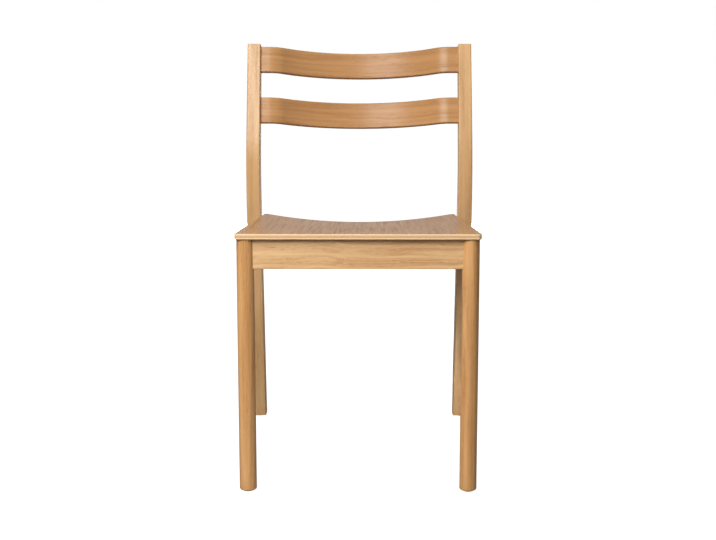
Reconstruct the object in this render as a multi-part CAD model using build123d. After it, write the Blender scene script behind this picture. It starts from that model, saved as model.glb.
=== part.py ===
from build123d import *
import os
from math import atan, cos, radians, sin, sqrt, tan

# A fixed wooden dining chair, in millimetres. The floor is z = 0, the sitter faces -Y and the
# viewer's right is +X. The origin is on the floor under the middle of the chair's outline.

# Whole chair
overall_height = 781.0  # floor to the highest edge of the post tops
base_depth = 500.0  # seat front edge to the back of the rear feet

# Front legs
front_leg_spacing = 384.0  # between the axes
front_leg_diameter = 30.0
front_foot_round = 2.5

# Rear legs, each one piece with the post above the seat
rear_leg_foot_width = 30.0
rear_leg_top_width = 26.0
rear_leg_foot_depth = 29.0
rear_leg_knee_depth = 37.0
rear_leg_top_depth = 26.5
rear_leg_round = 2.5
rear_foot_chamfer = 0.8
post_top_round = 1.0
knee_height = 530.0  # where the lower and upper lines of the leg meet
rake_angle = 9.5  # the lower leg runs back to its foot
lean_angle = 12.65  # the post runs back to its top
bend_radius = 345.0

# Seat panel, with heights to its upper face
seat_front_height = 454.0
seat_rear_height = 439.5
seat_thickness = 10.0
seat_rear_dish = 17.5  # how far the middle hangs below the side edges at the back
seat_middle_dish = 9.5  # the same half way back
seat_front_overhang = 3.0  # past the front legs
seat_side_overhang = 2.5  # past the front legs
seat_rear_overhang = 2.0  # past the rear rail
seat_post_gap = 6.0  # each side, where the seat passes between the posts
seat_front_corner = 8.0
seat_rear_corner = 14.0
seat_edge_round = 1.5

# Back slats
slat_height = 51.8
slat_thickness = 13.0
slat_round = 2.5
slat_bow = 60.0  # how far the middle stands behind the ends
slat_straight_end = 16.5  # from the post to where the bend starts
slat_end_radius = 45.0
slat_tenon = 16.0  # how far a slat goes into a post
slat_gap = 51.5  # between the two slats, along the post
post_stub = 4.2  # post above the top slat

# Rails under the seat
front_rail_thickness = 20.0
front_rail_height = 52.0
front_rail_setback = 8.0  # behind the front of the legs
side_rail_thickness = 22.0
side_rail_height = 50.0
side_rail_outset = 6.5  # from the front legs' axes out to the rails' outer faces
rear_rail_thickness = 20.0
rear_rail_height = 50.0  # at its ends, where the seat hangs least
rail_round = 1.5

# Corner blocks
block_leg = 44.0  # along each rail
block_tip = 6.0  # squared off where it thins out against a rail
block_lift = 10.0  # above the lower edge of the rail

# Dowels
dowel_diameter = 8.0
dowel_length = 36.0
dowel_depth_in_leg = 15.0
dowel_pitch = 24.0
dowel_stagger = 10.0  # the side rails' dowels pass above the front rail's
rear_dowel_diameter = 10.0
rear_dowel_depth_in_leg = 19.0
rear_dowel_depth_in_rail = 20.0
rear_dowel_edge = 11.0  # from the rear rail's lower edge to the first dowel's axis
rear_dowel_pitch = 20.0
dowel_chamfer = 0.8
hole_spare = 1.0  # empty length at the blind end of a hole

# Screws
screw_diameter = 4.0
screw_head_diameter = 8.0
screw_head_height = 2.6
screw_head_rim = 0.9  # upright part of the head below its dome
screw_recess_length = 4.4
screw_recess_width = 1.0
screw_recess_depth = 1.5
screw_point = 4.0
block_screw_spread = 16.0  # each side of the block's middle
block_screw_grip = 12.0  # length in the rail
seat_screw_grip = 6.5  # length in the seat
seat_screw_inset = 17.0  # from the block's corner, along its middle

# Foot glides
glide_height = 2.0
glide_diameter = 20.0
glide_round = 1.0
glide_pin_diameter = 3.0
glide_pin_length = 12.0

# Fits
glue_gap = 0.1  # at scribed ends, mortises, dowels and pins
screw_gap = 0.1

# Places that follow from the sizes
rake = radians(rake_angle)
lean = radians(lean_angle)
post_top_drop = (rear_leg_top_depth / 2 - post_top_round) * sin(lean) + post_top_round * (1 - cos(lean))
post_top_z = overall_height - post_top_drop  # on the post's middle line
slat_below_top = post_stub + slat_height / 2
top_slat_z = post_top_z - slat_below_top * cos(lean)
knee_back = base_depth - rear_leg_foot_depth / 2 - (knee_height - glide_height) * tan(rake)
slat_corner_y = slat_bow + slat_thickness / 2 - slat_round
slat_corner_z = slat_height / 2 - slat_round
slat_reach = slat_corner_y * cos(lean) + slat_corner_z * sin(lean) + slat_round
slat_back = knee_back + (top_slat_z - knee_height) * tan(lean) + slat_reach
overall_depth = max(base_depth, slat_back)  # the bowed top slat may stand behind the feet
seat_front_y = -overall_depth / 2
front_leg_x = front_leg_spacing / 2
front_leg_radius = front_leg_diameter / 2
front_leg_y = seat_front_y + seat_front_overhang + front_leg_radius
front_rail_front = front_leg_y - front_leg_radius + front_rail_setback
front_rail_back = front_rail_front + front_rail_thickness
rear_leg_x = front_leg_x + side_rail_outset  # inner face, against the side rail
side_rail_x = rear_leg_x - side_rail_thickness  # inner face of the side rail
foot_y = seat_front_y + base_depth - rear_leg_foot_depth / 2
knee_y = seat_front_y + knee_back
rear_rail_top = seat_rear_height - seat_thickness
rear_rail_bottom = rear_rail_top - rear_rail_height
rear_rail_y = knee_y + (knee_height - rear_rail_bottom - rear_rail_height / 2) * tan(rake)
rear_rail_front = rear_rail_y - rear_rail_thickness / 2
rear_rail_back = rear_rail_y + rear_rail_thickness / 2
seat_rear_y = rear_rail_back + seat_rear_overhang
seat_depth = seat_rear_y - seat_front_y
seat_front_width = front_leg_spacing + front_leg_diameter + 2 * seat_side_overhang
seat_rear_width = 2 * (rear_leg_x - seat_post_gap)
front_rail_bottom = seat_front_height - seat_thickness - front_rail_height
dowel_middle = front_rail_bottom + front_rail_height / 2
seat_slope = atan((seat_front_height - seat_rear_height) / seat_depth)  # along the seat's sides
blank_top = max(seat_front_height, seat_rear_height)  # legs, rails and blocks before the seat's cut
clear_of_seat = overall_height - seat_rear_height  # tall enough for any cut above the seat
sheet_spare = front_leg_diameter  # the cutting sheet reaches this far past the seat's edges
sheet_sections = 5
from_base = (Align.CENTER, Align.CENTER, Align.MIN)


def seat_share(y):
    """How far back a place is, from 0 at the seat's front edge to 1 at its rear edge."""
    return (y - seat_front_y) / seat_depth


def seat_half_width(share):
    return (seat_front_width + (seat_rear_width - seat_front_width) * share) / 2


def seat_side_height(share):
    """Height of the upper face along the seat's side edges."""
    return seat_front_height + (seat_rear_height - seat_front_height) * share


def seat_dish(share):
    """Depth of the hollow: none at the front edge, then the two given depths further back."""
    first = 4 * seat_middle_dish - seat_rear_dish
    return first * share + (seat_rear_dish - first) * share**2


def seat_height(x, y):
    """Height of the upper face: a parabola across the chair, hanging lower towards the back."""
    share = seat_share(y)
    reach = x / seat_half_width(share)
    return seat_side_height(share) - seat_dish(share) * (1 - reach**2)


def seat_sheet(upper):
    """The seat's curved sheet, cut large: from its underside to a height above its upper face."""
    sections = []
    for step in range(sheet_sections):
        along = step / (sheet_sections - 1)
        y = seat_front_y - sheet_spare + along * (seat_depth + 2 * sheet_spare)
        half = seat_half_width(seat_share(y)) + sheet_spare
        side = seat_height(half, y)
        middle = 2 * seat_height(0, y) - side
        low = [(-half, y, side), (0, y, middle), (half, y, side)]
        under = Bezier(*[Vector(p) - Vector(0, 0, seat_thickness) for p in low])
        over = Bezier(*[Vector(p) + Vector(0, 0, upper) for p in reversed(low)])
        ends = [Line(under @ 1, over @ 0), Line(over @ 1, under @ 0)]
        sections.append(Face(Wire([under, ends[0], over, ends[1]])))
    return loft(sections)


def seat_panel():
    """Moulded plywood, hollowed, and narrowing to pass between the posts."""
    front, rear = seat_front_width / 2, seat_rear_width / 2
    front_corners = [(-front, seat_front_y), (front, seat_front_y)]
    rear_corners = [(rear, seat_rear_y), (-rear, seat_rear_y)]
    outline = make_face(Polyline(*front_corners, *rear_corners, close=True))
    outline = fillet(outline.vertices().sort_by(Axis.Y)[:2], seat_front_corner)
    outline = fillet(outline.vertices().sort_by(Axis.Y)[-2:], seat_rear_corner)
    panel = seat_sheet(0) & extrude(outline, seat_front_height + clear_of_seat)
    under, upper = panel.faces().sort_by(SortBy.AREA)[-2:]
    return fillet(under.edges() + upper.edges(), seat_edge_round)


def front_leg_blank(gap=0):
    """A front leg before it is cut to the seat: a plain round bar."""
    length = blank_top - glide_height
    bar = Cylinder(front_leg_radius + gap, length, align=from_base)
    return Pos(front_leg_x, front_leg_y, glide_height) * bar


def front_leg():
    """A round leg, cut at the top to the seat's underside, with a rounded foot."""
    leg = front_leg_blank() - over_seat
    foot = leg.edges().sort_by(Axis.Z)[0]
    return fillet(foot, front_foot_round)


def rear_leg():
    """Leg and post in one: bent at the knee, deepest there, and narrowing to the top."""
    top_y = knee_y + (post_top_z - knee_height) * tan(lean)
    across = Vector(cos(lean), -sin(lean)) * (rear_leg_top_depth / 2)
    side = Polyline(
        (foot_y - rear_leg_foot_depth / 2, glide_height),
        (knee_y - rear_leg_knee_depth / 2, knee_height),
        (top_y - across.X, post_top_z - across.Y),
        (top_y + across.X, post_top_z + across.Y),
        (knee_y + rear_leg_knee_depth / 2, knee_height),
        (foot_y + rear_leg_foot_depth / 2, glide_height),
        close=True,
    )
    profile = make_face(side)
    front_knee, rear_knee = profile.vertices().sort_by(Axis.Y)[2:4].sort_by(Axis.X)
    profile = fillet(front_knee, bend_radius + rear_leg_knee_depth / 2)
    rear_knee = profile.vertices().sort_by_distance(rear_knee)[0]
    profile = fillet(rear_knee, bend_radius - rear_leg_knee_depth / 2)
    side_view = extrude(Plane.YZ.offset(rear_leg_x) * profile, rear_leg_foot_width)
    front_view = make_face(
        Polyline(
            (rear_leg_x, 0),
            (rear_leg_x + rear_leg_foot_width, 0),
            (rear_leg_x + rear_leg_top_width, overall_height),
            (rear_leg_x, overall_height),
            close=True,
        )
    )
    leg = side_view & extrude(Plane.XZ * front_view, overall_depth, both=True)
    long_edges = [e for e in leg.edges() if e.bounding_box().size.Z > rear_leg_foot_width]
    leg = fillet(long_edges, rear_leg_round)
    leg = chamfer(leg.faces().sort_by(Axis.Z)[0].edges(), rear_foot_chamfer)
    leg = fillet(leg.faces().sort_by(Axis.Z)[-1].edges(), post_top_round)
    for place in slat_places:
        leg -= place * slat_mortise()
    return leg


def slat_place(below_top):
    """A slat's own plane: X across the chair, Y back through the slat, Z up along the post."""
    z = post_top_z - below_top * cos(lean)
    y = knee_y + (z - knee_height) * tan(lean)
    return Plane((0, y, z), x_dir=(1, 0, 0), z_dir=(0, sin(lean), cos(lean)))


slat_places = [slat_place(slat_below_top + n * (slat_height + slat_gap)) for n in range(2)]


def slat_line(offset):
    """Half of a slat's line from its end to its middle, moved back by offset: straight, bent back,
    then bent the other way round the sitter."""
    bend_start = rear_leg_x - slat_straight_end
    slope = 2 * atan(slat_bow / bend_start)
    middle_radius = bend_start / sin(slope) - slat_end_radius
    end_r = slat_end_radius - offset
    mid_r = middle_radius + offset

    def on_end(angle):
        return (-bend_start + end_r * sin(angle), slat_end_radius - end_r * cos(angle))

    def on_middle(angle):
        return (-mid_r * sin(angle), slat_bow - middle_radius + mid_r * cos(angle))

    straight = Line((-rear_leg_x - slat_tenon, offset), on_end(0))
    return [
        straight,
        ThreePointArc(on_end(0), on_end(slope / 2), on_end(slope)),
        ThreePointArc(on_middle(slope), on_middle(0), on_middle(-slope)),
        mirror(ThreePointArc(on_end(0), on_end(slope / 2), on_end(slope)), about=Plane.YZ),
        mirror(straight, about=Plane.YZ),
    ]


def slat():
    """A bent slat with soft long edges and square ends that fill its mortises."""
    front = slat_line(-slat_thickness / 2)
    back = slat_line(slat_thickness / 2)
    end = Line(front[0] @ 0, back[0] @ 0)
    band = make_face([*front, *back, end, mirror(end, about=Plane.YZ)])
    board = extrude(band, slat_height / 2, both=True)
    faces = board.faces().sort_by(Axis.Z)
    rims = faces[0].edges() + faces[-1].edges()
    return fillet(rims.filter_by(Axis.Y, reverse=True), slat_round)


def slat_mortise():
    """The pocket in a right-hand post for a slat's end."""
    width = slat_thickness + 2 * glue_gap
    height = slat_height + 2 * glue_gap
    section = RectangleRounded(width, height, slat_round + glue_gap)
    return extrude(Plane.YZ.offset(rear_leg_x - glue_gap) * section, slat_tenon + hole_spare + glue_gap)


def front_rail():
    """The apron between the front legs, its ends scribed to the round legs."""
    height = blank_top - front_rail_bottom
    board = Box(front_leg_spacing, front_rail_thickness, height, align=from_base)
    board = Pos(0, front_rail_front + front_rail_thickness / 2, front_rail_bottom) * board
    low_edges = board.faces().sort_by(Axis.Z)[0].edges().filter_by(Axis.X)
    board = fillet(low_edges, rail_round) - over_seat
    legs = front_leg_blank(glue_gap)
    return board - legs - mirror(legs, about=Plane.YZ)


def side_rail():
    """A rail from a front leg back along the inside of a rear leg, level with the seat's side."""
    front_low = seat_side_height(seat_share(front_rail_back)) - seat_thickness - side_rail_height
    rear_low = seat_side_height(seat_share(rear_rail_back)) - seat_thickness - side_rail_height
    side = make_face(
        Polyline(
            (front_rail_back, front_low),
            (rear_rail_back, rear_low),
            (rear_rail_back, blank_top),
            (front_rail_back, blank_top),
            close=True,
        )
    )
    board = extrude(Plane.YZ.offset(side_rail_x) * side, side_rail_thickness)
    low_edges = board.faces().sort_by(Axis.Z)[0].edges().filter_by(Axis.X, reverse=True)
    return fillet(low_edges, rail_round) - over_seat - front_leg_blank(glue_gap)


def rear_rail():
    """The rail between the side rails at the back, hollowed along its top to the seat."""
    height = blank_top - rear_rail_bottom
    board = Box(2 * side_rail_x, rear_rail_thickness, height, align=from_base)
    board = Pos(0, rear_rail_y, rear_rail_bottom) * board
    low_edges = board.faces().sort_by(Axis.Z)[0].edges().filter_by(Axis.X)
    return fillet(low_edges, rail_round) - over_seat


def corner_block(corner_y, inward, bottom):
    """A three-cornered block in a right-hand corner of the frame, its two tips squared off."""
    plan = make_face(
        Polyline(
            (side_rail_x, corner_y),
            (side_rail_x - block_leg, corner_y),
            (side_rail_x - block_leg, corner_y + inward * block_tip),
            (side_rail_x - block_tip, corner_y + inward * block_leg),
            (side_rail_x, corner_y + inward * block_leg),
            close=True,
        )
    )
    block = extrude(Plane.XY.offset(bottom) * plan, blank_top - bottom, dir=(0, 0, 1))
    return block - over_seat


def dowel(start, direction, diameter, length, gap=0):
    """A plain dowel from start along direction; with a gap it is the hole for it."""
    spare = hole_spare if gap else 0
    rod = Cylinder(diameter / 2 + gap, length + 2 * spare, align=from_base)
    if not gap:
        rod = chamfer(rod.edges(), dowel_chamfer)
    start = Vector(start) - Vector(direction) * spare
    return Plane(start, z_dir=direction) * rod


def screw(head, direction, length, gap=0):
    """A round-headed screw with a cross recess, the head resting at head; with a gap, its hole."""
    r = screw_diameter / 2 + gap
    tip = length + gap
    shank = [(r, 0), (r, tip - screw_point), (0, tip)]
    place = Plane(Vector(head), z_dir=direction)
    if gap:
        half = make_face(Polyline((0, 0), *shank, close=True))
        return place * revolve(Plane.XZ * half, Axis.Z)
    head_r = screw_head_diameter / 2
    dome = TangentArc((0, -screw_head_height), (head_r, -screw_head_rim), tangent=(1, 0))
    rest = Polyline(dome @ 1, (head_r, 0), *shank, dome @ 0)
    turned = revolve(Plane.XZ * make_face([dome, rest]), Axis.Z)
    slot = Box(screw_recess_length, screw_recess_width, screw_recess_depth, align=from_base)
    for turn in (0, 90):
        turned -= Pos(0, 0, -screw_head_height) * Rot(0, 0, turn) * slot
    return place * turned


def glide(x, y):
    """A nail-on foot glide: a round pad with a pin that goes up into the leg."""
    pad = Cylinder(glide_diameter / 2, glide_height, align=from_base)
    pad = fillet(pad.edges().sort_by(Axis.Z)[0], glide_round)
    pin = Cylinder(glide_pin_diameter / 2, glide_height + glide_pin_length, align=from_base)
    return Pos(x, y, 0) * (pad + pin)


def glide_hole(x, y):
    """The hole in a leg for a glide's pin."""
    depth = glide_height + glide_pin_length + hole_spare
    return Pos(x, y, 0) * Cylinder(glide_pin_diameter / 2 + glue_gap, depth, align=from_base)


def both_sides(piece):
    """A right-hand piece and its mirror image, right first."""
    return [piece, mirror(piece, about=Plane.YZ)]


def frame_dowels(gap=0):
    """The dowels of the right-hand side, by joint."""
    front_y = (front_rail_front + front_rail_back) / 2
    front_x = front_leg_x - sqrt(front_leg_radius**2 - (front_y - front_leg_y) ** 2)
    side_x = side_rail_x + side_rail_thickness / 2
    side_y = front_leg_y + sqrt(front_leg_radius**2 - (side_x - front_leg_x) ** 2)
    side_y -= dowel_depth_in_leg
    side_line = (0, cos(seat_slope), -sin(seat_slope))
    rear_length = rear_dowel_depth_in_rail + side_rail_thickness + rear_dowel_depth_in_leg
    front, side, rear = [], [], []
    for up in (-0.5, 0.5):
        low = dowel_middle + up * dowel_pitch - dowel_stagger / 2
        high = low + dowel_stagger
        back = rear_rail_bottom + rear_dowel_edge + (up + 0.5) * rear_dowel_pitch
        front_start = (front_x + dowel_depth_in_leg, front_y, low)
        side_start = (side_x, side_y, high - (side_y - front_y) * tan(seat_slope))
        rear_start = (side_rail_x - rear_dowel_depth_in_rail, rear_rail_y, back)
        front.append(dowel(front_start, (-1, 0, 0), dowel_diameter, dowel_length, gap))
        side.append(dowel(side_start, side_line, dowel_diameter, dowel_length, gap))
        rear.append(dowel(rear_start, (1, 0, 0), rear_dowel_diameter, rear_length, gap))
    return front, side, rear


def block_screws(corner_y, inward, rail_height, side_height, gap=0):
    """Two screws through a corner block's long face, one into each rail."""
    toward = Vector(1, -inward, 0) / sqrt(2)
    along = Vector(1, inward, 0) / sqrt(2)
    face = (block_leg + block_tip) / 2
    middle = Vector(side_rail_x - face, corner_y + inward * face, 0)
    reach = face * sqrt(2) - block_screw_spread + block_screw_grip
    screws = []
    for side, height in ((-1, rail_height), (1, side_height)):
        head = middle + along * side * block_screw_spread + Vector(0, 0, height)
        screws.append(screw(head, toward, reach, gap))
    return screws


def seat_screw(corner_y, inward, bottom, gap=0):
    """A screw up through a corner block into the seat."""
    x = side_rail_x - seat_screw_inset / sqrt(2)
    y = corner_y + inward * seat_screw_inset / sqrt(2)
    length = seat_height(x, y) - seat_thickness + seat_screw_grip - bottom
    return screw((x, y, bottom), (0, 0, 1), length, gap)


over_seat = seat_sheet(clear_of_seat)
rear_leg_mid_x = rear_leg_x + rear_leg_foot_width / 2
front_block_bottom = front_rail_bottom + block_lift
rear_block_bottom = rear_rail_bottom + block_lift
rear_screw_height = rear_rail_bottom + rear_dowel_edge + rear_dowel_pitch / 2
front_corner = (front_rail_back, 1, front_block_bottom)
rear_corner = (rear_rail_front, -1, rear_block_bottom)
front_screw_heights = (dowel_middle - dowel_stagger / 2, dowel_middle + dowel_stagger / 2)
rear_screw_heights = (rear_screw_height, rear_screw_height)


def block_fasteners(gap=0):
    """The screws of the right-hand corner blocks: into the rails, and up into the seat."""
    into_rails = block_screws(*front_corner[:2], *front_screw_heights, gap)
    into_rails += block_screws(*rear_corner[:2], *rear_screw_heights, gap)
    into_seat = [seat_screw(*front_corner, gap), seat_screw(*rear_corner, gap)]
    return into_rails, into_seat


front_holes, side_holes, rear_holes = frame_dowels(glue_gap)
rail_screw_holes, seat_screw_holes = block_fasteners(screw_gap)
all_holes = front_holes + side_holes + rear_holes + rail_screw_holes + seat_screw_holes
all_holes += [glide_hole(front_leg_x, front_leg_y), glide_hole(rear_leg_mid_x, foot_y)]


def drilled(piece, holes):
    for hole in holes:
        piece -= hole
    return piece


def in_pairs(pieces):
    """Right-hand pieces, each followed by its mirror image."""
    return [copy for piece in pieces for copy in both_sides(piece)]


nodes = {}
nodes["seat_panel"] = drilled(seat_panel(), in_pairs(seat_screw_holes))
nodes["front_rail"] = drilled(front_rail(), in_pairs(all_holes))
nodes["rear_rail"] = drilled(rear_rail(), in_pairs(all_holes))
paired = {
    "front_leg": drilled(front_leg(), all_holes),
    "rear_leg": drilled(rear_leg(), all_holes),
    "side_rail": drilled(side_rail(), all_holes),
    "front_corner_block": drilled(corner_block(*front_corner), all_holes),
    "rear_corner_block": drilled(corner_block(*rear_corner), all_holes),
    "front_glide": glide(front_leg_x, front_leg_y),
    "rear_glide": glide(rear_leg_mid_x, foot_y),
}
for name, piece in paired.items():
    nodes["right_" + name], nodes["left_" + name] = both_sides(piece)
for name, place in zip(("top_slat", "lower_slat"), slat_places):
    nodes[name] = place * slat()
front_dowels, side_dowels, rear_dowels = frame_dowels()
rail_screws, seat_screws = block_fasteners()
nodes["front_rail_dowels"] = Compound(children=in_pairs(front_dowels))
nodes["side_rail_dowels"] = Compound(children=in_pairs(side_dowels))
nodes["rear_leg_dowels"] = Compound(children=in_pairs(rear_dowels))
nodes["corner_block_screws"] = Compound(children=in_pairs(rail_screws))
nodes["seat_screws"] = Compound(children=in_pairs(seat_screws))

os.makedirs("parts", exist_ok=True)
for name, shape in nodes.items():
    export_step(shape, f"parts/{name}.step")
    size = shape.bounding_box().size
    print(f"{name}: {len(shape.solids())} solids, {size.X:.1f} x {size.Y:.1f} x {size.Z:.1f} mm")
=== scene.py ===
# %% [markdown]
# # A wooden chair, dressed for its portrait
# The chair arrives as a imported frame: every rail, leg, slat, dowel and screw at its real size.
# This lesson gives it its looks. Pieces with curves are made again as smooth skins worked out
# with numpy, flat boards keep the frame's own shape, and every piece gets a wood or metal finish
# that is worked out from noise, so nothing is painted on from a picture.

# %% Load the frame
import math

import bpy
import numpy as np
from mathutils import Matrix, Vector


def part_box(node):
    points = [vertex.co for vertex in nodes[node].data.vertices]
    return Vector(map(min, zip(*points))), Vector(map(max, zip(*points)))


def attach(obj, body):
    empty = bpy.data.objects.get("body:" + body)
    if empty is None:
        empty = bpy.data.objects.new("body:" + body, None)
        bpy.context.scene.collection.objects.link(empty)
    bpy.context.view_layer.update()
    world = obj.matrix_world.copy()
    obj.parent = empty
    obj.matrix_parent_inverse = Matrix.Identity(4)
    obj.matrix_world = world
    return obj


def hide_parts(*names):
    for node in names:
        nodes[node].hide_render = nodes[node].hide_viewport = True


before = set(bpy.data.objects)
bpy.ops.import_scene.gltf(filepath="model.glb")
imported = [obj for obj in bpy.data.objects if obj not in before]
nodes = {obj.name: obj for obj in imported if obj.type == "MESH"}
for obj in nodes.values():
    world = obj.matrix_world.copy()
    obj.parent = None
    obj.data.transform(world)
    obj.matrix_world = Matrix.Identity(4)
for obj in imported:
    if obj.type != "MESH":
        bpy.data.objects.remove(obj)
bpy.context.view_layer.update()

# %% [markdown]
# ## Sizes
# A maker measures first. What the frame's boxes can tell is read from them, so that the skins stay
# true to the frame. What a box cannot tell, such as the bend of the rear legs, is written once, in
# metres and degrees, where its piece is made.

# %% Sizes read from the frame
leg_low, leg_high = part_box("right_front_leg")
leg_radius = (leg_high.x - leg_low.x) / 2
leg_x = (leg_high.x + leg_low.x) / 2
leg_y = (leg_high.y + leg_low.y) / 2
foot_z = leg_low.z
post_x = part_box("right_rear_leg")[0].x
chair_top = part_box("right_rear_leg")[1].z
seat_low, seat_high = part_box("seat_panel")
apron_low, apron_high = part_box("front_rail")
print("leg radius", round(leg_radius, 4), "post face", round(post_x, 4), "top", round(chair_top, 4))

# %% [markdown]
# ## Small tools for shaders
# A finish in Blender is a net of nodes. Nodes can be dragged together by hand in the shader editor,
# or made in a script, where each takes several lines. A few short helpers make a node, fill its
# sockets and hand on its result, so that a finish reads like a sum. The same helpers serve the
# floor and the sky, so they come first.

# %% Nodes, and what goes into them
def put(tree, socket, value):
    """Links a socket to another one, or sets it where the value is a plain number or colour."""
    if isinstance(value, bpy.types.NodeSocket):
        tree.links.new(value, socket)
    else:
        socket.default_value = value


def add(tree, kind, **inputs):
    """One shader node, with the inputs named in its call set or linked."""
    made = tree.nodes.new("ShaderNode" + kind)
    for name, value in inputs.items():
        put(tree, made.inputs[name.replace("_", " ")], value)
    return made


def between(tree, value, low, high, to_low=0.0, to_high=1.0, way="LINEAR"):
    """A value brought from one range to another and held inside it."""
    made = add(
        tree, "MapRange", Value=value,
        From_Min=low, From_Max=high, To_Min=to_low, To_Max=to_high,
    )
    made.interpolation_type = way
    return made.outputs["Result"]


def new_finish(name):
    """A material, its net of nodes and its shader."""
    finish = bpy.data.materials.new(name)
    finish.use_nodes = True
    return finish, finish.node_tree, finish.node_tree.nodes["Principled BSDF"]


def own_place(tree):
    """A point's place in its own object, which for every piece is its place in the chair."""
    return tree.nodes.new("ShaderNodeTexCoord").outputs["Object"]


# %% [markdown]
# ## The floor and the sky
# The portrait was taken in a studio, on paper that the print shows as plain white, and the room's
# walls were dim. White paper under bright lamps would send light up into every shadow. So floor and
# sky look white to the camera, while on the chair they act as the dim grey room that they were, a
# little brighter behind, where the paper runs up to the backdrop.

# %% Floor
paper_half = 40.0
paper_lit_from, paper_lit_full = 1.5, 4.0
white = (1, 1, 1, 1)


def seen_or_felt(tree, seen, felt):
    """One strength where the camera looks straight at it, another where it lights something."""
    looked_at = tree.nodes.new("ShaderNodeLightPath").outputs["Is Camera Ray"]
    return between(tree, looked_at, 0.0, 1.0, felt, seen)


def plain_floor(glow, paper_grey, lit_behind):
    """Pale paper, white to the camera, and lit by itself only where it runs up to the backdrop."""
    mesh = bpy.data.meshes.new("floor")
    corners = paper_half * np.array([[-1, -1, 0], [1, -1, 0], [1, 1, 0], [-1, 1, 0]])
    mesh.from_pydata(corners.tolist(), [], [(0, 1, 2, 3)])
    floor = bpy.data.objects.new("floor", mesh)
    bpy.context.scene.collection.objects.link(floor)
    paper, tree, shader = new_finish("pale paper")
    shader.inputs["Base Color"].default_value = (paper_grey, paper_grey, paper_grey, 1)
    shader.inputs["Roughness"].default_value = 1.0
    shader.inputs["Specular IOR Level"].default_value = 0.0
    shader.inputs["Emission Color"].default_value = white
    back = add(tree, "SeparateXYZ", Vector=own_place(tree)).outputs["Y"]
    behind = between(tree, back, paper_lit_from, paper_lit_full, 0.0, lit_behind)
    put(tree, shader.inputs["Emission Strength"], seen_or_felt(tree, glow, behind))
    mesh.materials.append(paper)
    print("floor", round(2 * paper_half), "m wide")


plain_floor(glow=1.0, paper_grey=0.26, lit_behind=0.5)

# %% Sky
backdrop_edge, backdrop_full = 0.86, 0.995


def studio_sky(seen, felt, backdrop):
    """White to the camera. As a light it is dim, but brighter straight behind, at the backdrop."""
    world = bpy.data.worlds.new("studio")
    bpy.context.scene.world = world
    world.use_nodes = True
    tree = world.node_tree
    towards = tree.nodes.new("ShaderNodeTexCoord").outputs["Generated"]
    back = add(tree, "SeparateXYZ", Vector=towards).outputs["Y"]
    behind = between(tree, back, backdrop_edge, backdrop_full, felt, backdrop, way="SMOOTHSTEP")
    background = tree.nodes["Background"]
    background.inputs["Color"].default_value = white
    put(tree, background.inputs["Strength"], seen_or_felt(tree, seen, behind))
    print("sky", world.name)


studio_sky(seen=1.0, felt=0.08, backdrop=0.45)
bpy.context.scene.view_settings.view_transform = "Standard"

# %% [markdown]
# ## The lamps
# A studio uses wide lamps, because they give soft shadows. One such lamp alone would leave whole
# sides black. Here the key lamp stands near, at the left front, high enough for the seat's edge to
# throw its dark line on the apron, and a lamp from high above fills in. Two low lamps, behind and
# at the right back, light the far sides but leave no glare in the gloss. A narrow beam slips
# between the front legs to the foot of the right rear leg, which the seat shades.

# %% A wide lamp
def soft_lamp(name, place, aim, width, height, power):
    """A wide lamp, turned so that it looks from its place to its aim."""
    lamp = bpy.data.lights.new(name, "AREA")
    lamp.shape = "RECTANGLE"
    lamp.size, lamp.size_y, lamp.energy = width, height, power
    holder = bpy.data.objects.new(name, lamp)
    bpy.context.scene.collection.objects.link(holder)
    holder.location = place
    across, back, up = np.subtract(aim, place)
    tilt, turn = math.atan2(math.hypot(across, back), -up), math.atan2(-across, back)
    holder.rotation_euler = (tilt, 0, turn)
    holder.visible_camera = False
    return holder


# %% Where the lamps stand
chair_middle, right_rear_foot = (0, 0, 0.45), (0.2054, 0.23, 0.06)
soft_lamp("key lamp", (-1.0, -2.15, 1.9), chair_middle, width=1.5, height=1.3, power=78)
soft_lamp("high lamp", (-0.3, -2.2, 3.9), chair_middle, width=2.0, height=2.0, power=65)
for name, place, power in (
    ("low back lamp", (0.0, 3.6, 0.25), 90),
    ("low side lamp", (2.7, 2.8, 0.25), 50),
):
    low_lamp = soft_lamp(name, place, chair_middle, width=2.4, height=0.36, power=power)
    low_lamp.visible_glossy = False
beam_place, beam_spread = (-0.76, -1.9, 0.27), math.radians(11)
beam = soft_lamp("low beam", beam_place, right_rear_foot, width=0.06, height=0.30, power=0.185)
beam.data.spread = beam_spread

# %% [markdown]
# ## The camera
# The photograph looks straight at the chair from about table height. The lens and the place were
# worked out from the chair's corners. A lens with a large shift would draw the uprights quite
# parallel, but would push the chair out of other views, so the camera looks down a little instead
# and its shift stays small.

# %% Camera
frame_width = 716
focal_pixels = 1184.6
camera_place = (0.0130, -2.2320, 0.7153)
camera_pitch, camera_turn, camera_shift = 8.246, 0.375, -0.03
lens = bpy.data.cameras.new("portrait lens")
lens.sensor_width = 36
lens.lens = focal_pixels * lens.sensor_width / frame_width
lens.shift_y = camera_shift
camera = bpy.data.objects.new("camera", lens)
bpy.context.scene.collection.objects.link(camera)
camera.location = camera_place
camera.rotation_euler = (math.radians(90 - camera_pitch), 0, math.radians(camera_turn))
bpy.context.scene.camera = camera
print("lens", round(lens.lens, 1), "mm")

# %% [markdown]
# ## Oak
# Oak is pale brown with several things in it: broad figure where the saw crosses the growth rings,
# fine streaks along the board, lighter and darker clouds, pale flecks and short dark pores. A
# picture of wood would repeat, and would not bend with the boards. So each of these is noise,
# stretched along the board. The figure is the sine of a slow noise, which draws nested arches as
# sawn boards have them, and all of it sways a little. The stretch comes from the board's own
# coordinates, so it bends where the board bends.

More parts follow.
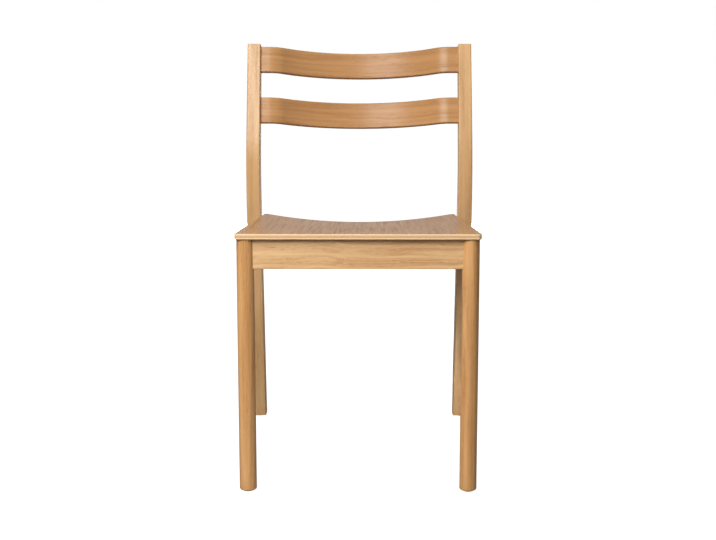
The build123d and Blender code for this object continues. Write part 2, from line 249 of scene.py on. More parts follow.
# %% Sums, mixes and colours
def math_node(tree, operation, a, b=0.0):
    """One step of arithmetic on two values."""
    made = tree.nodes.new("ShaderNodeMath")
    made.operation = operation
    for socket, value in zip(made.inputs, (a, b)):
        put(tree, socket, value)
    return made.outputs[0]


def weighted(tree, *parts):
    """The sum of values, each times its weight."""
    total = 0.0
    for value, weight in parts:
        total = math_node(tree, "ADD", total, math_node(tree, "MULTIPLY", value, weight))
    return total


def mixed(tree, share, a, b):
    """Colour a where share is 0 and b where it is 1."""
    made = tree.nodes.new("ShaderNodeMix")
    made.data_type = "RGBA"
    for socket, value in zip((made.inputs[0], made.inputs[6], made.inputs[7]), (share, a, b)):
        put(tree, socket, value)
    return made.outputs[2]


def paint(r, g, b):
    """A screen colour of 0 to 255 as the linear colour that shaders use, by the sRGB curve."""
    c = np.array([r, g, b]) / 255
    return (*np.where(c <= 0.04045, c / 12.92, ((c + 0.055) / 1.055) ** 2.4).tolist(), 1.0)


print("a middle grey of 128 is", round(paint(128, 128, 128)[0], 3), "to a shader")

# %% Where a point lies in its board
def board_place(tree):
    """Where a point lies in its own board, as the skins store it."""
    made = tree.nodes.new("ShaderNodeAttribute")
    made.attribute_name = "board"
    return made.outputs["Vector"]


def object_place(tree, turn):
    """The same for a piece of the frame: its place in the chair, turned so that Z is the grain."""
    turned = [math.radians(t) for t in turn]
    return add(tree, "Mapping", Vector=own_place(tree), Rotation=turned).outputs[0]


# %% Kinds of noise in oak
# Noise seldom leaves its middle, so that range is spread out to make use of all of 0 to 1.
noise_middle = (0.3, 0.7)
oak_noises = {
    "sway": {"waves": (5, 5, 10), "detail": 1.0, "range": (0.25, 0.75)},
    "streaks": {"waves": (240, 240, 4.5), "detail": 4.0, "range": (0.33, 0.67)},
    "fine": {"waves": (900, 900, 14), "detail": 3.0, "range": noise_middle},
    "cloud": {"waves": (7, 7, 3.0), "detail": 1.0, "range": noise_middle},
    "flecks": {"waves": (420, 420, 70), "detail": 2.0, "range": (0.60, 0.74)},
    "pores": {"waves": (1700, 1700, 45), "detail": 1.0, "range": (0.60, 0.70)},
}
figure_waves, figure_turns = (16, 16, 0.9), 70.0


def stretched_noise(tree, place, waves, detail=3.0, rough=0.55):
    """Noise of a board place, with so many waves a metre across, through and along the board."""
    moved = add(tree, "Mapping", Vector=place, Scale=waves).outputs[0]
    noise = add(tree, "TexNoise", Vector=moved, Scale=1.0, Detail=detail, Roughness=rough)
    return noise.outputs["Fac"]


def oak_noise(tree, place, kind, to_low=0.0, to_high=1.0):
    """One kind of noise, the useful part of its range brought to 0 to 1 or to what is asked for."""
    made = oak_noises[kind]
    noise = stretched_noise(tree, place, made["waves"], made["detail"])
    return between(tree, noise, *made["range"], to_low, to_high)


def figure_arches(tree, place):
    """Nested arches: the sine of a slow noise times the number of turns, brought to 0 to 1."""
    slow = stretched_noise(tree, place, figure_waves, detail=2.0, rough=0.45)
    arches = math_node(tree, "SINE", math_node(tree, "MULTIPLY", slow, figure_turns))
    return between(tree, arches, -1.0, 1.0)


print("noises in oak", list(oak_noises))

# %% What shows in oak
lines_share, fine_share, cloud_share = 0.60, 0.16, 0.24
fleck_share, pore_share = 0.30, 0.45
pore_figure, least_pore = (0.2, 0.9), 0.25
usual_figure, usual_sway = 0.26, 0.0012


def wandering(tree, place, sway):
    """The place pushed across the board by a slow noise, so that streaks sway as they run along."""
    slow = oak_noise(tree, place, "sway", -sway, sway)
    moved = tree.nodes.new("ShaderNodeVectorMath")
    put(tree, moved.inputs[0], place)
    put(tree, moved.inputs[1], add(tree, "CombineXYZ", X=slow, Y=slow).outputs[0])
    return moved.outputs[0]


def oak_layers(tree, place, light, dark, pore, figure_share=usual_figure, sway=usual_sway):
    """Colour, the depth of the pores and the darkness of the wood, from a board place.

    Darkness is a weighted sum of figure, streaks, fine lines and clouds, and mixes the light tone
    with the dark one. Flecks bring the light tone back, and pores, which are deepest in the dark of
    the figure, are laid over everything.
    """
    place = wandering(tree, place, sway)
    figure = figure_arches(tree, place)
    share = weighted(
        tree,
        (figure, figure_share),
        (oak_noise(tree, place, "streaks"), lines_share - figure_share),
        (oak_noise(tree, place, "fine"), fine_share),
        (oak_noise(tree, place, "cloud"), cloud_share),
    )
    wood = mixed(tree, share, light, dark)
    wood = mixed(tree, oak_noise(tree, place, "flecks", 0.0, fleck_share), wood, light)
    deeper = between(tree, figure, *pore_figure, least_pore, 1.0)
    pores = math_node(tree, "MULTIPLY", oak_noise(tree, place, "pores"), deeper)
    wood = mixed(tree, math_node(tree, "MULTIPLY", pores, pore_share), wood, pore)
    return wood, pores, share


# %% [markdown]
# ## Lacquer
# A satin lacquer lets the wood show and adds a soft gloss. It sinks into the pores and dries duller
# there. The ends of a board drink it up, so they stay darker and duller than its faces. A separate
# clear coat could be laid over the wood, but satin lacquer is thin, so the wood's own gloss and
# roughness do. Each kind of piece has its own light and dark tone, because boards are never alike.

# %% Lacquered oak
oak_pore = (112, 72, 38)
end_grain, end_share = paint(132, 88, 50), 0.4
dull_pores, dull_dark, dull_ends = 0.18, 0.12, 0.35
streak_relief, relief_strength, pore_depth = 0.25, 0.35, 0.00012


def lacquered(tree, wood, pores, share, rough, shine):
    """A satin coat over the wood.

    Its roughness is a sum of the lacquer's own and what pores, dark wood and cut ends add. Its
    relief dips at the pores, and a little at the dark streaks.
    """
    shader = tree.nodes["Principled BSDF"]
    ends = tree.nodes.new("ShaderNodeAttribute")
    ends.attribute_name = "cut"
    cut = ends.outputs["Fac"]
    wood = mixed(tree, math_node(tree, "MULTIPLY", cut, end_share), wood, end_grain)
    put(tree, shader.inputs["Base Color"], wood)
    dull = weighted(tree, (pores, dull_pores), (share, dull_dark), (cut, dull_ends))
    put(tree, shader.inputs["Roughness"], math_node(tree, "ADD", dull, rough))
    relief = weighted(tree, (share, -streak_relief), (pores, -1.0))
    bump = add(tree, "Bump", Strength=relief_strength, Distance=pore_depth, Height=relief)
    put(tree, shader.inputs["Normal"], bump.outputs[0])
    shader.inputs["Specular IOR Level"].default_value = shine


def oak(name, light, dark, pore=oak_pore, rough=0.22, shine=0.25, turn=None, sway=usual_sway):
    """Oak with a coat. With a turn it reads a place in the chair, and without one the board's."""
    finish, tree, _ = new_finish(name)
    place = board_place(tree) if turn is None else object_place(tree, turn)
    layers = oak_layers(tree, place, paint(*light), paint(*dark), paint(*pore), sway=sway)
    lacquered(tree, *layers, rough, shine)
    return finish


leg_oak = oak("leg oak", (223, 173, 117), (174, 121, 69))
post_oak = oak("post oak", (217, 177, 128), (173, 129, 81), shine=0.28)
slat_oak = oak("slat oak", (193, 147, 100), (156, 110, 65), rough=0.24, shine=0.19)
apron_oak = oak("apron oak", (236, 198, 149), (180, 131, 83), sway=0.004)
along_x, along_y = (0, 90, 0), (90, 0, 0)
rear_rail_oak = oak("rear rail oak", (228, 186, 136), (196, 147, 95), turn=along_x)
side_rail_oak = oak("side rail oak", (228, 186, 136), (196, 147, 95), turn=along_y)
print("finishes", [m.name for m in bpy.data.materials if "oak" in m.name])

# %% [markdown]
# ## One skin for every piece
# Nearly every piece of a chair is a section carried along a line: a round leg, a bent post, a bowed
# slat. Each could be pulled out of a cube by hand, but then its sizes would only be near the real
# ones. So one helper sews rings of points into a closed skin, and the pieces differ only in how
# their rings are worked out. The helper also stores where each point lies in its board, across
# the grain, through it and along it, because the grain of a bent board follows the bend.

# %% Sewing rings into a closed skin
flat_face_weight = 80


def skin(name, rings, grain, ends_cut=1.0):
    """A closed skin from rings[i, j], point j of ring i.

    Neighbouring rings are joined by four-sided faces, and each end ring is closed by a fan of
    triangles to its own middle. The volume under the faces, a sixth of the sum of each corner's
    triple product, shows by its sign whether they face outwards, and they are turned if not.
    grain has the same form as rings and holds each point's place in its board, in metres. The two
    ends are also marked as cut, because wood that is cut across its grain looks different, unless
    ends_cut is 0, as for a panel whose rings start and end in the middle of its faces.
    """
    count, around = rings.shape[:2]
    first, last = count * around, count * around + 1
    here = np.arange(count * around).reshape(count, around)
    beside = np.roll(here, -1, axis=1)
    sides = np.stack([here[:-1], beside[:-1], beside[1:], here[1:]], axis=-1).reshape(-1, 4)
    start = np.stack([np.full(around, first), beside[0], here[0]], axis=-1)
    end = np.stack([np.full(around, last), here[-1], beside[-1]], axis=-1)
    points = np.concatenate([rings.reshape(-1, 3), rings[[0, -1]].mean(axis=1)])
    board = np.concatenate([grain.reshape(-1, 3), grain[[0, -1]].mean(axis=1)])
    corners = np.concatenate([sides[:, [0, 1, 2]], sides[:, [0, 2, 3]], start, end])
    a, b, c = (points[corners[:, k]] for k in range(3))
    if np.einsum("ij,ij->i", a, np.cross(b, c)).sum() < 0:
        sides, start, end = sides[:, ::-1], start[:, ::-1], end[:, ::-1]
    mesh = bpy.data.meshes.new(name)
    mesh.from_pydata(points.tolist(), [], sides.tolist() + start.tolist() + end.tolist())
    mesh.attributes.new("board", "FLOAT_VECTOR", "POINT").data.foreach_set(
        "vector", board.astype(np.float32).ravel()
    )
    cut = np.zeros(len(points), np.float32)
    cut[:around], cut[-around - 2:] = ends_cut, ends_cut
    mesh.attributes.new("cut", "FLOAT", "POINT").data.foreach_set("value", cut)
    mesh.shade_smooth()
    piece = bpy.data.objects.new(name, mesh)
    bpy.context.scene.collection.objects.link(piece)
    flat = piece.modifiers.new("flat faces stay flat", "WEIGHTED_NORMAL")
    flat.weight = flat_face_weight
    return piece


def dress(piece, finish, node):
    """Gives a piece its finish, rides it on the chair and lets it stand for its frame node."""
    piece.data.materials.append(finish)
    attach(piece, "root")
    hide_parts(node)
    print(piece.name, len(piece.data.vertices), "points")


# %% [markdown]
# ## The seat's surface
# The seat is moulded plywood: flat along its front edge, and hollowed more and more towards the
# back. It could be modelled by pulling at a grid of points, but a press bends each line across the
# chair into a smooth curve. So each is a parabola, and one formula gives the height anywhere. The
# legs and the apron end against the same formula less the seat's thickness.

# %% Height of the seat
seat_front_y, seat_rear_y = seat_low.y, seat_high.y
seat_front_z, seat_rear_z = seat_high.z, 0.4395
seat_past_legs, seat_short_of_posts = 0.0025, 0.006
seat_front_half = leg_x + leg_radius + seat_past_legs
seat_rear_half = post_x - seat_short_of_posts
seat_middle_dish, seat_rear_dish = 0.0095, 0.0175
seat_thickness = 0.010


def seat_share(y):
    """How far back a place is: 0 at the front edge, 1 at the rear edge."""
    return (y - seat_front_y) / (seat_rear_y - seat_front_y)


def seat_height(x, y):
    """Side height less a hollow that is deepest in the middle and grows towards the back.

    The hollow's depth is the parabola through 0 at the front edge, the middle dish halfway and the
    rear dish at the back. Across the chair it falls off with the square of the distance.
    """
    share = seat_share(y)
    half = seat_front_half + (seat_rear_half - seat_front_half) * share
    side = seat_front_z + (seat_rear_z - seat_front_z) * share
    first = 4 * seat_middle_dish - seat_rear_dish
    dish = first * share + (seat_rear_dish - first) * share**2
    return side - dish * (1 - (x / half) ** 2)


def seat_underside(x, y):
    """The seat's height less its thickness."""
    return seat_height(x, y) - seat_thickness


print("seat middle at the back", round(float(seat_height(0.0, seat_rear_y)), 4))

# %% [markdown]
# ## The seat panel
# The panel could be cut from a sheet and thickened, but its edge is what shows: a soft edge over
# stacked veneers. So a line is carried round the outline: from the middle of the top out to the
# edge, over the round, down the side, and back under to the middle.

# %% Outline of the seat, at any distance inside its edge
seat_front_corner, seat_rear_corner = 0.008, 0.014


def seat_outline(inset, corner_points=12, side_points=36):
    """The outline moved inwards: straight sides and round corners, whose radius shrinks with inset.

    The four side lines are moved along their normals, each corner's middle lies on both of its
    sides' lines moved by the full radius, and the arc runs between the sides' normals.
    """
    corner = np.array([
        [seat_front_half, seat_front_y], [seat_rear_half, seat_rear_y],
        [-seat_rear_half, seat_rear_y], [-seat_front_half, seat_front_y],
    ])
    radius = np.array([seat_front_corner, seat_rear_corner, seat_rear_corner, seat_front_corner])
    forward = np.roll(corner, -1, axis=0) - corner
    forward /= np.linalg.norm(forward, axis=1)[:, None]
    outward = np.stack([forward[:, 1], -forward[:, 0]], axis=-1)
    before = np.roll(outward, 1, axis=0)
    half_turn = np.arccos(np.einsum("ij,ij->i", outward, before)) / 2
    bisector = (outward + before) / np.linalg.norm(outward + before, axis=1)[:, None]
    middle = corner - bisector * (radius / np.cos(half_turn))[:, None]
    angle = np.arctan2(before[:, 1], before[:, 0])[:, None]
    angle = angle + 2 * half_turn[:, None] * np.linspace(0, 1, corner_points)[None, :]
    keep = (radius - inset)[:, None]
    arc = middle[:, None] + np.stack([keep * np.cos(angle), keep * np.sin(angle)], axis=-1)
    ends = np.roll(arc[:, 0], -1, axis=0)
    share = np.linspace(0, 1, side_points + 2)[1:-1]
    side = arc[:, -1][:, None] + (ends - arc[:, -1])[:, None] * share[None, :, None]
    return np.concatenate([arc, side], axis=1).reshape(-1, 2)


print("points round the seat", len(seat_outline(0.0)))

# %% Rings of the seat
seat_edge_round = 0.0015
round_steps, wall_steps, face_steps = 6, 12, 40
innermost_ring, ring_crowding = 0.02, 0.8


def eased_ends(radius, steps=5):
    """How far a section shrinks and how far it stands back, over an end that is rounded.

    Over a quarter turn, one is the radius times one less the cosine, the other times one less the
    sine.
    """
    turn = np.linspace(0, np.pi / 2, steps)
    return radius * (1 - np.cos(turn)), radius * (1 - np.sin(turn))


def seat_skin():
    """Rings from the middle of the top, out over the edge and back to the middle underneath.

    On the faces a ring is the outline shrunk towards the middle. At the edge it is the outline
    moved in by a quarter circle's share, and lowered by the other share. Heights come from
    seat_height.
    """
    inner = np.linspace(innermost_ring, 1, face_steps) ** ring_crowding
    flat = seat_outline(seat_edge_round)
    drop, over = eased_ends(seat_edge_round, round_steps)
    wall = np.linspace(seat_edge_round, seat_thickness - seat_edge_round, wall_steps)[1:-1]
    insets = np.concatenate([over, np.zeros(len(wall)), over[::-1]])
    depths = np.concatenate([drop, wall, seat_thickness - drop[::-1]])
    edge = np.stack([seat_outline(inset) for inset in insets])
    centre = np.array([0.0, (seat_front_y + seat_rear_y) / 2])
    top = centre + (flat - centre) * inner[:-1, None, None]
    plan = np.concatenate([top, edge, top[::-1]])
    depth = np.concatenate([np.zeros(len(top)), depths, np.full(len(top), seat_thickness)])
    depth = np.broadcast_to(depth[:, None], plan.shape[:2])
    height = seat_height(plan[..., 0], plan[..., 1]) - depth
    rings = np.concatenate([plan, height[..., None]], axis=-1)
    return rings, np.stack([plan[..., 0], depth, plan[..., 1]], axis=-1)


seat_rings, seat_grain = seat_skin()
print("seat", seat_rings.shape[0], "rings of", seat_rings.shape[1], "points")

# %% [markdown]
# ## The seat's finish
# The face veneer runs front to back. On the edge the veneers show as thin stripes, light where the
# grain runs along the edge and darker where it is cut across. Each stripe could be a thin piece of
# its own, but the veneers are glued flush. So the stored depth below the top face tells which
# veneer a point is in.

# %% Plywood finish
veneer_tones = ("pale", "pale", "dull", "dull", "dull", "pale", "pale")
veneer_paints = {
    "pale": (paint(236, 206, 170), paint(222, 190, 150)),
    "dull": (paint(222, 184, 138), paint(190, 148, 104)),
}
speckle_waves = (260, 2600, 260)
face_veneer = 0.0006
seat_figure_share = 0.07


def plywood(name, light, dark, pore, rough, shine):
    """Oak on both faces; between them each veneer takes over from the one above at its depth."""
    finish, tree, _ = new_finish(name)
    place = board_place(tree)
    face_paints = (paint(*tone) for tone in (light, dark, pore))
    face, pores, share = oak_layers(tree, place, *face_paints, figure_share=seat_figure_share)
    depth = add(tree, "SeparateXYZ", Vector=place).outputs["Y"]
    speckle = stretched_noise(tree, place, speckle_waves, detail=2.0)
    speckle = between(tree, speckle, *noise_middle)
    tones = {tone: mixed(tree, speckle, *pair) for tone, pair in veneer_paints.items()}
    step = seat_thickness / len(veneer_tones)
    wood = face
    for number, tone in enumerate(veneer_tones):
        below = math_node(tree, "GREATER_THAN", depth, max(number * step, face_veneer))
        wood = mixed(tree, below, wood, tones[tone])
    underneath = math_node(tree, "GREATER_THAN", depth, seat_thickness - face_veneer)
    lacquered(tree, mixed(tree, underneath, wood, face), pores, share, rough, shine)
    return finish


seat_ply = plywood(
    "seat plywood", (222, 174, 126), (160, 114, 74), (96, 62, 36), rough=0.24, shine=0.25
)
seat = skin("seat", seat_rings, seat_grain, ends_cut=0.0)
dress(seat, seat_ply, "seat_panel")

# %% [markdown]
# ## The front legs
# A front leg is turned on a lathe: a straight round bar with an eased foot. A cylinder with a bevel
# would do, but its top would be square, and the real one is cut to the seat. So a radius for each
# height is spun round an axis, and the heights stretch up to the seat's underside.

# %% Turned legs
foot_round = 0.0025
top_edge_share, top_ring_share = 0.999, 0.97


def turned_leg(side, around=72, stations=60):
    """Rings round the leg's axis; the heights run from the foot to the seat's underside above."""
    shrink, back = eased_ends(foot_round)
    up = np.concatenate([np.linspace(0, 1, stations)[1:-1], [top_edge_share, 1.0, 1.0]])
    radius = np.concatenate([leg_radius - shrink[::-1], np.full(len(up), leg_radius)])
    radius[-1] *= top_ring_share
    turn = np.linspace(0, 2 * np.pi, around, endpoint=False)
    x = side * leg_x + radius[:, None] * np.cos(turn)
    y = leg_y + radius[:, None] * np.sin(turn)
    foot = np.concatenate([foot_z + back[::-1], np.zeros(len(up))])[:, None]
    start = foot_z + foot_round
    rise = np.concatenate([np.zeros(len(shrink)), up])[:, None]
    z = np.where(rise > 0, start + rise * (seat_underside(x, y) - start), foot)
    cut_from = np.array([0.31 + 0.17 * side, 0.05, 0.4 * side])
    grain = np.stack([x - side * leg_x, y - leg_y, z], axis=-1) + cut_from
    return np.stack([x, y, z], axis=-1), grain


hands = {"left": -1, "right": 1}
for word, side in hands.items():
    leg = skin(f"{word}_front_leg_turned", *turned_leg(side))
    dress(leg, leg_oak, f"{word}_front_leg")

# %% [markdown]
# ## The rear legs
# Leg and post are one piece, sawn or bent to a shallow knee: the leg rakes back to its foot and the
# post leans back to its top. A straight bar could be bent with a modifier, but the front and the
# back of this leg do not run parallel. So each edge is a straight run, a round bend and a straight
# run, and a section is stretched between the two edges at every step, deepest at the knee.

# %% Line of the rear legs
base_depth = 0.500
rear_depth = {"foot": 0.029, "knee": 0.037, "top": 0.0265}
foot_ease, top_ease = 0.0008, 0.0010
knee_z = 0.530
rake, lean = math.radians(9.5), math.radians(12.65)
rear_foot_y = seat_front_y + base_depth - rear_depth["foot"] / 2
knee_y = rear_foot_y - (knee_z - foot_z) * math.tan(rake)
top_drop = (rear_depth["top"] / 2 - top_ease) * math.sin(lean) + top_ease * (1 - math.cos(lean))
post_top_z = chair_top - top_drop
post_top_y = knee_y + (post_top_z - knee_z) * math.tan(lean)


def bent_edge(foot, knee, top, radius, share):
    """A straight run for shares 0 to 1, a bend of that radius from 1 to 2, a straight run to 3.

    The bend touches both runs at radius times the tangent of half the turn from the knee.
    """
    foot, knee, top = (np.asarray(p, float) for p in (foot, knee, top))
    first = (knee - foot) / np.linalg.norm(knee - foot)
    second = (top - knee) / np.linalg.norm(top - knee)
    turn = np.arccos(first @ second)
    reach = radius * np.tan(turn / 2)
    start, end = knee - first * reach, knee + second * reach
    inward = np.array([first[1], -first[0]]) * np.sign(second[0] * first[1] - second[1] * first[0])
    angle = (turn * np.clip(share - 1, 0, 1))[:, None]
    bend = start + radius * (inward * (1 - np.cos(angle)) + first * np.sin(angle))
    low = foot + (start - foot) * np.clip(share, 0, 1)[:, None]
    high = end + (top - end) * np.clip(share - 2, 0, 1)[:, None]
    return np.where((share < 1)[:, None], low, np.where((share < 2)[:, None], bend, high))


print("post top", round(post_top_y, 4), round(post_top_z, 4), "knee", round(knee_y, 4))

# %% A soft-edged rectangle, carried along a line
corner_steps = 6


def soft_rectangle(half_a, half_b, radius):
    """Points round a rectangle with round corners, one ring for each entry of the three arrays.

    Each corner's middle stands in from the sides by the radius, and its quarter circle is added to
    it. The four quarters follow one another, and the straight sides join them.
    """
    turn = (np.arange(4)[:, None] * 90 + np.linspace(0, 90, corner_steps + 1)[None, :]).ravel()
    corner = np.repeat(np.array([[1, 1], [-1, 1], [-1, -1], [1, -1]]), corner_steps + 1, axis=0)
    x, y = np.cos(np.radians(turn)), np.sin(np.radians(turn))
    r = radius[:, None]
    a = corner[:, 0] * (half_a[:, None] - r) + r * x
    b = corner[:, 1] * (half_b[:, None] - r) + r * y
    return a, b


def carried(middle, side_a, side_b, half_a, half_b, radius, along, cut_from):
    """Rings of soft rectangles: each point is its station's middle plus its two sides' shares.

    The second result is the grain: across, through and along the board. It is moved by the place in
    the tree that the board was cut from, so that no two boards look the same.
    """
    a, b = soft_rectangle(half_a, half_b, radius)
    rings = middle[:, None] + a[..., None] * side_a[:, None] + b[..., None] * side_b[:, None]
    length = np.broadcast_to(along[:, None], a.shape)
    return rings, np.stack([a, b, length], axis=-1) + np.asarray(cut_from)


print("points round a soft rectangle", 4 * (corner_steps + 1))

# %% Bent legs
rear_width = {"foot": 0.030, "top": 0.026}
rear_round, least_round = 0.0025, 0.001
bend_radius = 0.345
leg_steps, bend_steps, post_steps = 50, 40, 30


def bent_leg(side):
    """Stations up the leg; each section lies between the front edge and the back edge.

    Sections narrow evenly from foot to top. At both ends they shrink and stand back over a quarter
    circle, which eases the edges there.
    """
    half = {k: d / 2 for k, d in rear_depth.items()}
    tilt = np.array([math.cos(lean), -math.sin(lean)])
    top = np.array([post_top_y, post_top_z])
    shrink_low, back_low = eased_ends(foot_ease)
    shrink_high, back_high = eased_ends(top_ease)
    share = np.concatenate([
        np.zeros(len(shrink_low)), np.linspace(0, 1, leg_steps)[1:],
        np.linspace(1, 2, bend_steps)[1:], np.linspace(2, 3, post_steps)[1:-1],
        np.full(len(shrink_high), 3.0),
    ])
    front, back = (
        bent_edge((rear_foot_y + way * half["foot"], foot_z), (knee_y + way * half["knee"], knee_z),
                  top + way * tilt * half["top"], bend_radius - way * half["knee"], share)
        for way in (-1, 1)
    )
    depth = np.linalg.norm(back - front, axis=1)
    through = (back - front) / depth[:, None]
    upward = np.stack([-through[:, 1], through[:, 0]], axis=-1)
    plain = np.zeros(len(share) - len(shrink_low) - len(shrink_high))
    shrink = np.concatenate([shrink_low[::-1], plain, shrink_high])
    stand_back = np.concatenate([back_low[::-1], plain, -back_high])
    middle = (front + back) / 2 + upward * stand_back[:, None]
    width = rear_width["foot"] + (rear_width["top"] - rear_width["foot"]) * middle[:, 1] / chair_top
    centre = np.stack([side * (post_x + width / 2), middle[:, 0], middle[:, 1]], axis=-1)
    across = np.broadcast_to(np.array([1.0, 0.0, 0.0]), centre.shape)
    into = np.stack([np.zeros(len(share)), through[:, 0], through[:, 1]], axis=-1)
    step = np.linalg.norm(np.diff(centre, axis=0, prepend=centre[:1]), axis=1)
    return carried(centre, across, into, width / 2 - shrink, depth / 2 - shrink,
                   np.maximum(rear_round - shrink, least_round), np.cumsum(step),
                   cut_from=(0.9 + 0.2 * side, 0.6, side))


for word, side in hands.items():
    leg = skin(f"{word}_rear_leg_bent", *bent_leg(side))
    dress(leg, post_oak, f"{word}_rear_leg")

# %% [markdown]
# ## The back slats
# A slat is a thin board bent round the sitter: straight where it enters the posts, then a short
# bend back, then a long bend the other way. A curve with a bevel could be drawn by eye. Measured
# along the board from its middle, though, each stretch is a line or an arc, so one formula gives
# the place and the slope for the whole length.

# %% Line of a slat
slat_bow, slat_straight_end, slat_end_radius = 0.060, 0.0165, 0.045
bend_start = post_x - slat_straight_end
slat_slope = 2 * math.atan(slat_bow / bend_start)
slat_middle_radius = bend_start / math.sin(slat_slope) - slat_end_radius


def slat_line(s):
    """Across the chair, back from the posts, and slope, at a distance s along the middle line.

    In the long bend the slope is the distance over the radius. In the short bend it falls back to
    nothing. Sines and cosines of the slope, times the radius, give the place.
    """
    far = np.abs(s)
    long_bend = slat_middle_radius * slat_slope
    short_bend = long_bend + slat_end_radius * slat_slope
    past_long_bend = np.clip(far - long_bend, 0, short_bend - long_bend)
    inside = far < long_bend
    slope = np.where(inside, far / slat_middle_radius,
                     slat_slope - past_long_bend / slat_end_radius)
    x = np.where(inside, slat_middle_radius * np.sin(slope),
                 bend_start - slat_end_radius * np.sin(slope))
    x = x + np.clip(far - short_bend, 0, None)
    y = np.where(inside, slat_bow - slat_middle_radius * (1 - np.cos(slope)),
                 slat_end_radius * (1 - np.cos(slope)))
    return np.sign(s) * x, y, np.sign(s) * slope


print("slat turns by", round(math.degrees(slat_slope), 1), "degrees")
print("slat's long bend has a radius of", round(slat_middle_radius, 3))

# %% Bowed slats
slat_height, slat_thickness, slat_round, slat_tenon = 0.0518, 0.013, 0.0025, 0.016
slat_gap, post_stub = 0.0515, 0.0042
slat_steps = 181


def bowed_slat(number):
    """A soft rectangle carried along the slat's line, in a plane that leans with the posts."""
    drop = post_stub + slat_height / 2 + number * (slat_height + slat_gap)
    z = post_top_z - drop * math.cos(lean)
    y = knee_y + (z - knee_z) * math.tan(lean)
    back = np.array([0.0, math.cos(lean), -math.sin(lean)])
    up = np.array([0.0, math.sin(lean), math.cos(lean)])
    reach = slat_slope * (slat_middle_radius + slat_end_radius) + slat_straight_end + slat_tenon
    s = np.linspace(-reach, reach, slat_steps)
    x, bow, slope = slat_line(s)
    across = np.array([1.0, 0.0, 0.0])
    middle = np.array([0.0, y, z]) + x[:, None] * across + bow[:, None] * back
    through = np.sin(slope)[:, None] * across + np.cos(slope)[:, None] * back
    upward = np.broadcast_to(up, through.shape)
    half_t, half_h = np.full(slat_steps, slat_thickness / 2), np.full(slat_steps, slat_height / 2)
    return carried(middle, upward, through, half_h, half_t, np.full(slat_steps, slat_round), s,
                   cut_from=(2.0 + 0.7 * number, 1.3, 3.0 * number))


for number, word in enumerate(("top", "lower")):
    dress(skin(f"{word}_slat_bowed", *bowed_slat(number)), slat_oak, f"{word}_slat")

# %% [markdown]
# ## The apron
# The front rail is a straight board, but its ends are hollowed to the round legs and its top
# follows the seat. A cutter could carve the ends out of a block. Here the length simply depends on
# where a point lies through the board's thickness, which leaves clean rings and no ragged faces.

# %% Apron board
apron_round = 0.0015
glue_gap = 0.0001
end_rings = np.concatenate([np.linspace(0.05, 0.95, 8), [0.99, 1.0]])
next_to_end, apron_steps = 0.998, 60


def apron_board():
    """Sections along the chair, each as long as the gap between the legs at that depth.

    The gap's half is the leg's distance from the middle less the side of a right-angled triangle,
    whose other side is the depth from the leg's axis. Each end is closed by smaller and smaller
    sections, which lie in the hollow. The upper half is stretched to the seat's underside.
    """
    middle_y, middle_z = (apron_low.y + apron_high.y) / 2, (apron_low.z + apron_high.z) / 2
    half_y, half_z = (apron_high.y - apron_low.y) / 2, (apron_high.z - apron_low.z) / 2
    y, z = soft_rectangle(*(np.array([size]) for size in (half_y, half_z, apron_round)))
    run = np.concatenate([[-next_to_end], np.linspace(-1, 1, apron_steps)[1:-1], [next_to_end]])
    shrink = np.concatenate([end_rings, np.ones(len(run)), end_rings[::-1]])[:, None]
    end = np.ones(len(end_rings))
    t = np.concatenate([-end, run, end])[:, None]
    y, z = middle_y + y * shrink, middle_z + z * shrink
    x = t * (leg_x - np.sqrt((leg_radius + glue_gap) ** 2 - (y - leg_y) ** 2))
    stretch = (seat_underside(x, y) - apron_high.z) * (z - middle_z) / half_z
    z = z + np.where(z > middle_z, stretch, 0)
    cut_from = np.array([0.0, 0.9, 5.0])
    return np.stack([x, y, z], axis=-1), np.stack([z, y, x], axis=-1) + cut_from


dress(skin("apron", *apron_board()), apron_oak, "front_rail")

# %% [markdown]
# ## The frame under the seat
# Side rails, rear rail and corner blocks are flat boards. They could have new skins too, but a flat
# board gains nothing by one, so the frame's own shapes stay and only their finish changes. The
# blocks are bare planed wood. Dowels, screws and foot pads are small, but they turn up in a view
# from below, so each gets a true finish too.

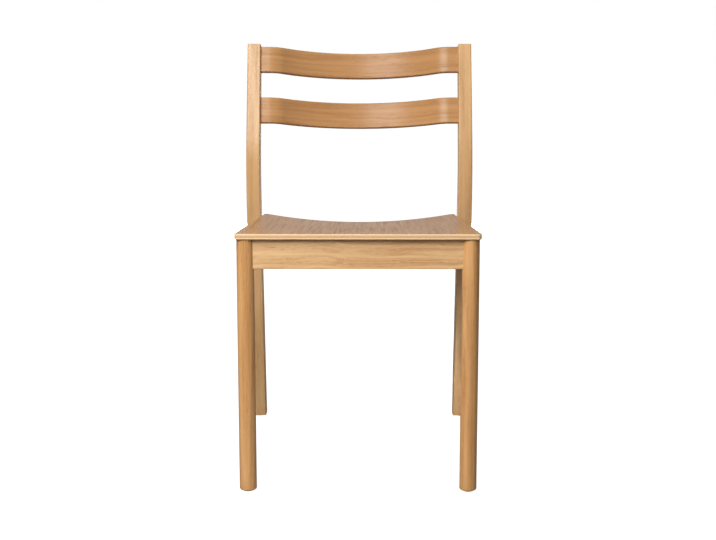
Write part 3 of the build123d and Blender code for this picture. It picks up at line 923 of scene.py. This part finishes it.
# %% Bare wood, plated steel and nylon
cloud_waves, scratch_waves, scuff_waves = 420.0, (2400, 2400, 300), (900, 260, 260)
scuff_range = (0.35, 0.7)
steel_roughness, nylon_roughness = (0.25, 0.5), (0.45, 0.7)


def bare_wood(name, light, dark, turn):
    """Planed and unlacquered: the oak layers with a dull, even surface."""
    return oak(name, light, dark, pore=(140, 100, 62), rough=0.66, turn=turn)


def plated_steel(name):
    """Zinc plating: a cloudy grey metal with fine scratches."""
    finish, tree, shader = new_finish(name)
    where = own_place(tree)
    cloud = add(tree, "TexNoise", Vector=where, Scale=cloud_waves, Detail=4.0).outputs["Fac"]
    scratch = stretched_noise(tree, where, scratch_waves)
    zinc = mixed(tree, cloud, paint(196, 192, 178), paint(150, 148, 140))
    put(tree, shader.inputs["Base Color"], zinc)
    put(tree, shader.inputs["Roughness"], between(tree, scratch, *noise_middle, *steel_roughness))
    shader.inputs["Metallic"].default_value = 1.0
    return finish


def nylon(name):
    """A dull pad of off-white nylon, scuffed where it slides."""
    finish, tree, shader = new_finish(name)
    scuff = stretched_noise(tree, own_place(tree), scuff_waves)
    scuff = between(tree, scuff, *scuff_range)
    pad = mixed(tree, scuff, paint(206, 196, 178), paint(168, 156, 138))
    put(tree, shader.inputs["Base Color"], pad)
    put(tree, shader.inputs["Roughness"], between(tree, scuff, 0.0, 1.0, *nylon_roughness))
    return finish


across_corner = (0, 90, 45)
block_wood = bare_wood("block wood", (222, 190, 144), (192, 152, 104), across_corner)
dowel_wood = bare_wood("dowel wood", (214, 176, 130), (186, 144, 98), along_x)
screw_steel, glide_nylon = plated_steel("plated steel"), nylon("nylon")
print("finishes", [m.name for m in (block_wood, dowel_wood, screw_steel, glide_nylon)])

# %% Finishes for the frame's own pieces
frame_finishes = {
    "_side_rail": side_rail_oak, "rear_rail": rear_rail_oak, "corner_block": block_wood,
    "dowels": dowel_wood, "screws": screw_steel, "glide": glide_nylon,
}
for name, node in nodes.items():
    for ending, finish in frame_finishes.items():
        if name.endswith(ending) and not node.hide_render:
            node.data.materials.clear()
            node.data.materials.append(finish)
            print(name, finish.name)
